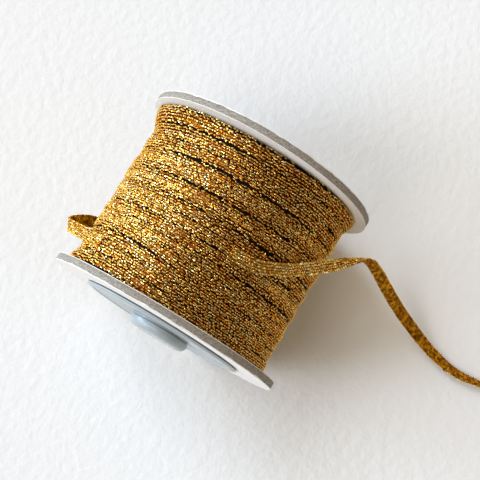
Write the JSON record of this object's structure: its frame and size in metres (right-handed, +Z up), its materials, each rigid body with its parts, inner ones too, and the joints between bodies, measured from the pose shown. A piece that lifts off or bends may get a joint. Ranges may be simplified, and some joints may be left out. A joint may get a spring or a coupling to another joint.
{
  "type": "metallic braided ribbon on a spool",
  "caption": "Flat gold metallic braided ribbon wound on a spool with lined board flanges and plastic end plates, with a slack loop at one side and a loose end trailing onto the surface.",
  "frame": {"origin": "on the surface that the spool lies on, under the middle of its axis", "axes": "+X along the spool's axis towards the right flange, the one that the low corner of the winding is beside; +Y towards the side with the slack loop; +Z up; the loose end runs away towards -Y"},
  "size_m": [0.0674, 0.1578, 0.0748],
  "materials": {
    "chipboard": "grey die-cut chipboard with a matt fibrous edge, lined on both faces with smooth white paper",
    "end_plastic": "thin moulded plastic, pale grey-blue and slightly milky, with a soft satin shine",
    "gold_braid": "flat braid of metallised thread, bright gold with sparkling stitches and dark gaps between its ribs"
  },
  "bodies": {
    "root": {"flange_left": "chipboard", "flange_right": "chipboard", "end_plate_left": "end_plastic", "end_plate_right": "end_plastic", "ribbon_winding": "gold_braid", "slack_loop": "gold_braid", "loose_end": "gold_braid"}
  },
  "joints": []
}
